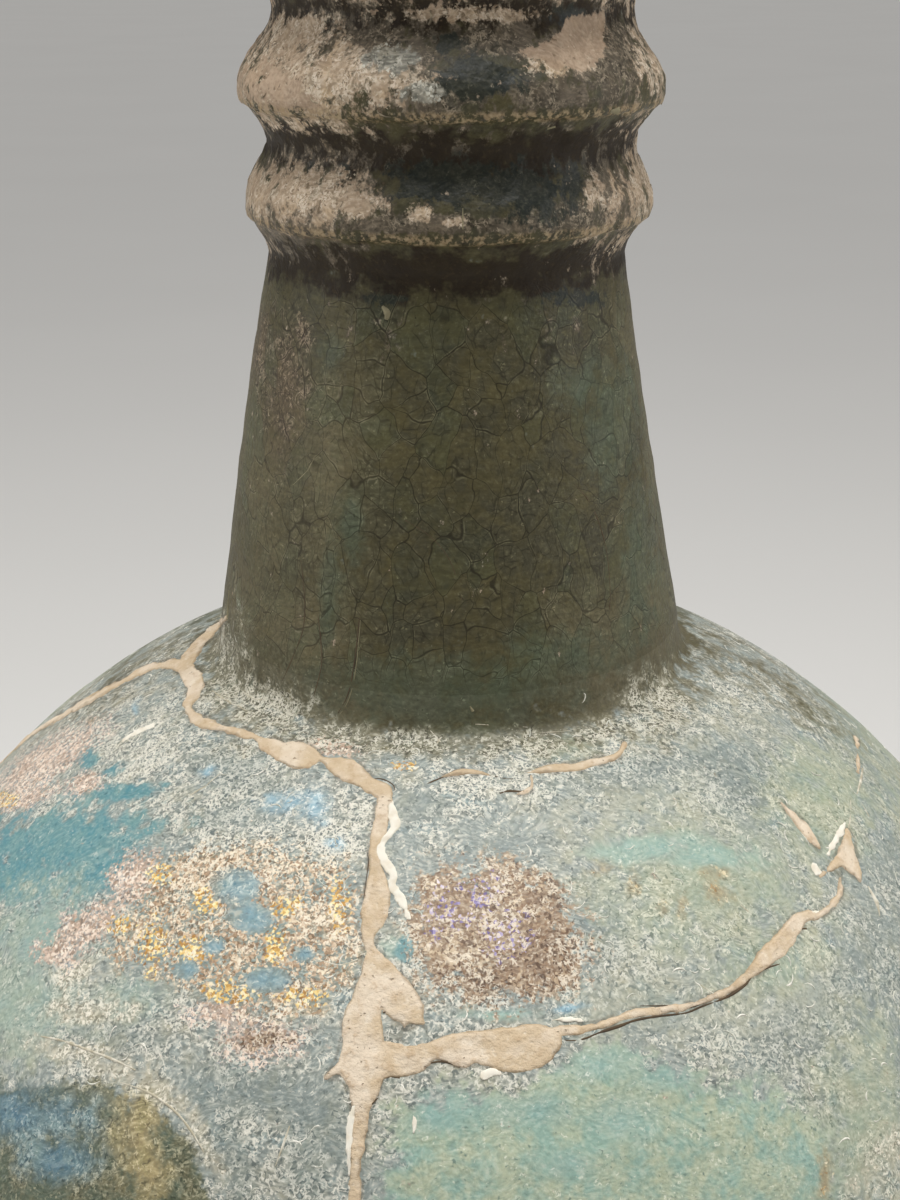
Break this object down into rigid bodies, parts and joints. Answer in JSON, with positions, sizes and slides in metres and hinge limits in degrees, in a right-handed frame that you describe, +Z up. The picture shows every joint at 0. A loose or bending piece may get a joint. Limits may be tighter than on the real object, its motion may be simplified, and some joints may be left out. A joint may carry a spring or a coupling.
{
  "type": "glazed pottery jar",
  "caption": "Hollow globular earthenware jar with a tapering ringed neck, open mouth and low foot ring, its weathered glaze crackled and its breaks mended with filler.",
  "frame": {"origin": "centre of the underside, in the plane that the foot ring stands on", "axes": "+Z up along the neck; the mended front faces -Y"},
  "size_m": [0.3, 0.3, 0.452],
  "materials": {
    "weathered_glaze": "satin",
    "tan_filler": "matte"
  },
  "bodies": {
    "root": {"jar": "weathered_glaze", "seam_filler": "tan_filler", "neck_crack_filler": "tan_filler"}
  },
  "joints": []
}
